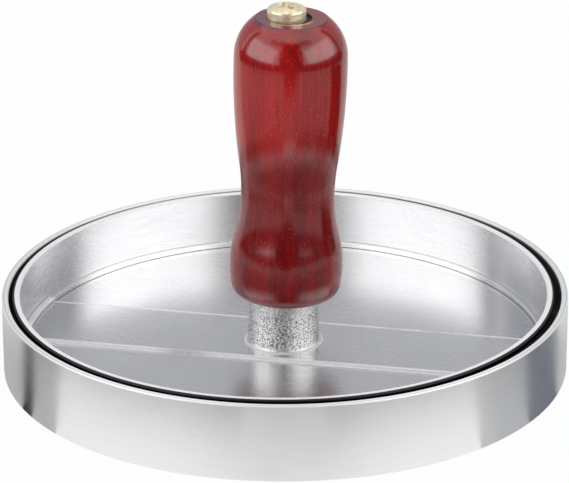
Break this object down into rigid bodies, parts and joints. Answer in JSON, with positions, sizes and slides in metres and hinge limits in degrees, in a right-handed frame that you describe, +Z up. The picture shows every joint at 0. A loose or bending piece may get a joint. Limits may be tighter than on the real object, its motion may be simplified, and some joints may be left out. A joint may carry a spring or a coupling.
{
  "type": "burger press",
  "caption": "Round aluminium burger press: an open ring, a pan-shaped press plate with a ridged face, and a turned red wooden handle held by a long screw.",
  "frame": {"origin": "centre of the open ring, on the surface that the press stands on", "axes": "+Z up along the ring's axis and the press's travel, +X to the right and -Y towards the viewer of the picture"},
  "size_m": [0.115, 0.115, 0.0762],
  "materials": {
    "ring_aluminium": "fine turned, bright",
    "cast_aluminium": "brushed floor and wall, rough cast boss",
    "stained_wood": "red stain under gloss varnish",
    "screw_brass": "bright plated"
  },
  "bodies": {
    "ring": {"outer_ring": "ring_aluminium"},
    "press": {"press_plate": "cast_aluminium", "handle": "stained_wood", "handle_screw": "screw_brass"}
  },
  "joints": [
    {"name": "press_lift", "type": "slide", "parent": "ring", "child": "press", "axis": [0, 0, 1], "range_m": [0, 0.03]}
  ]
}
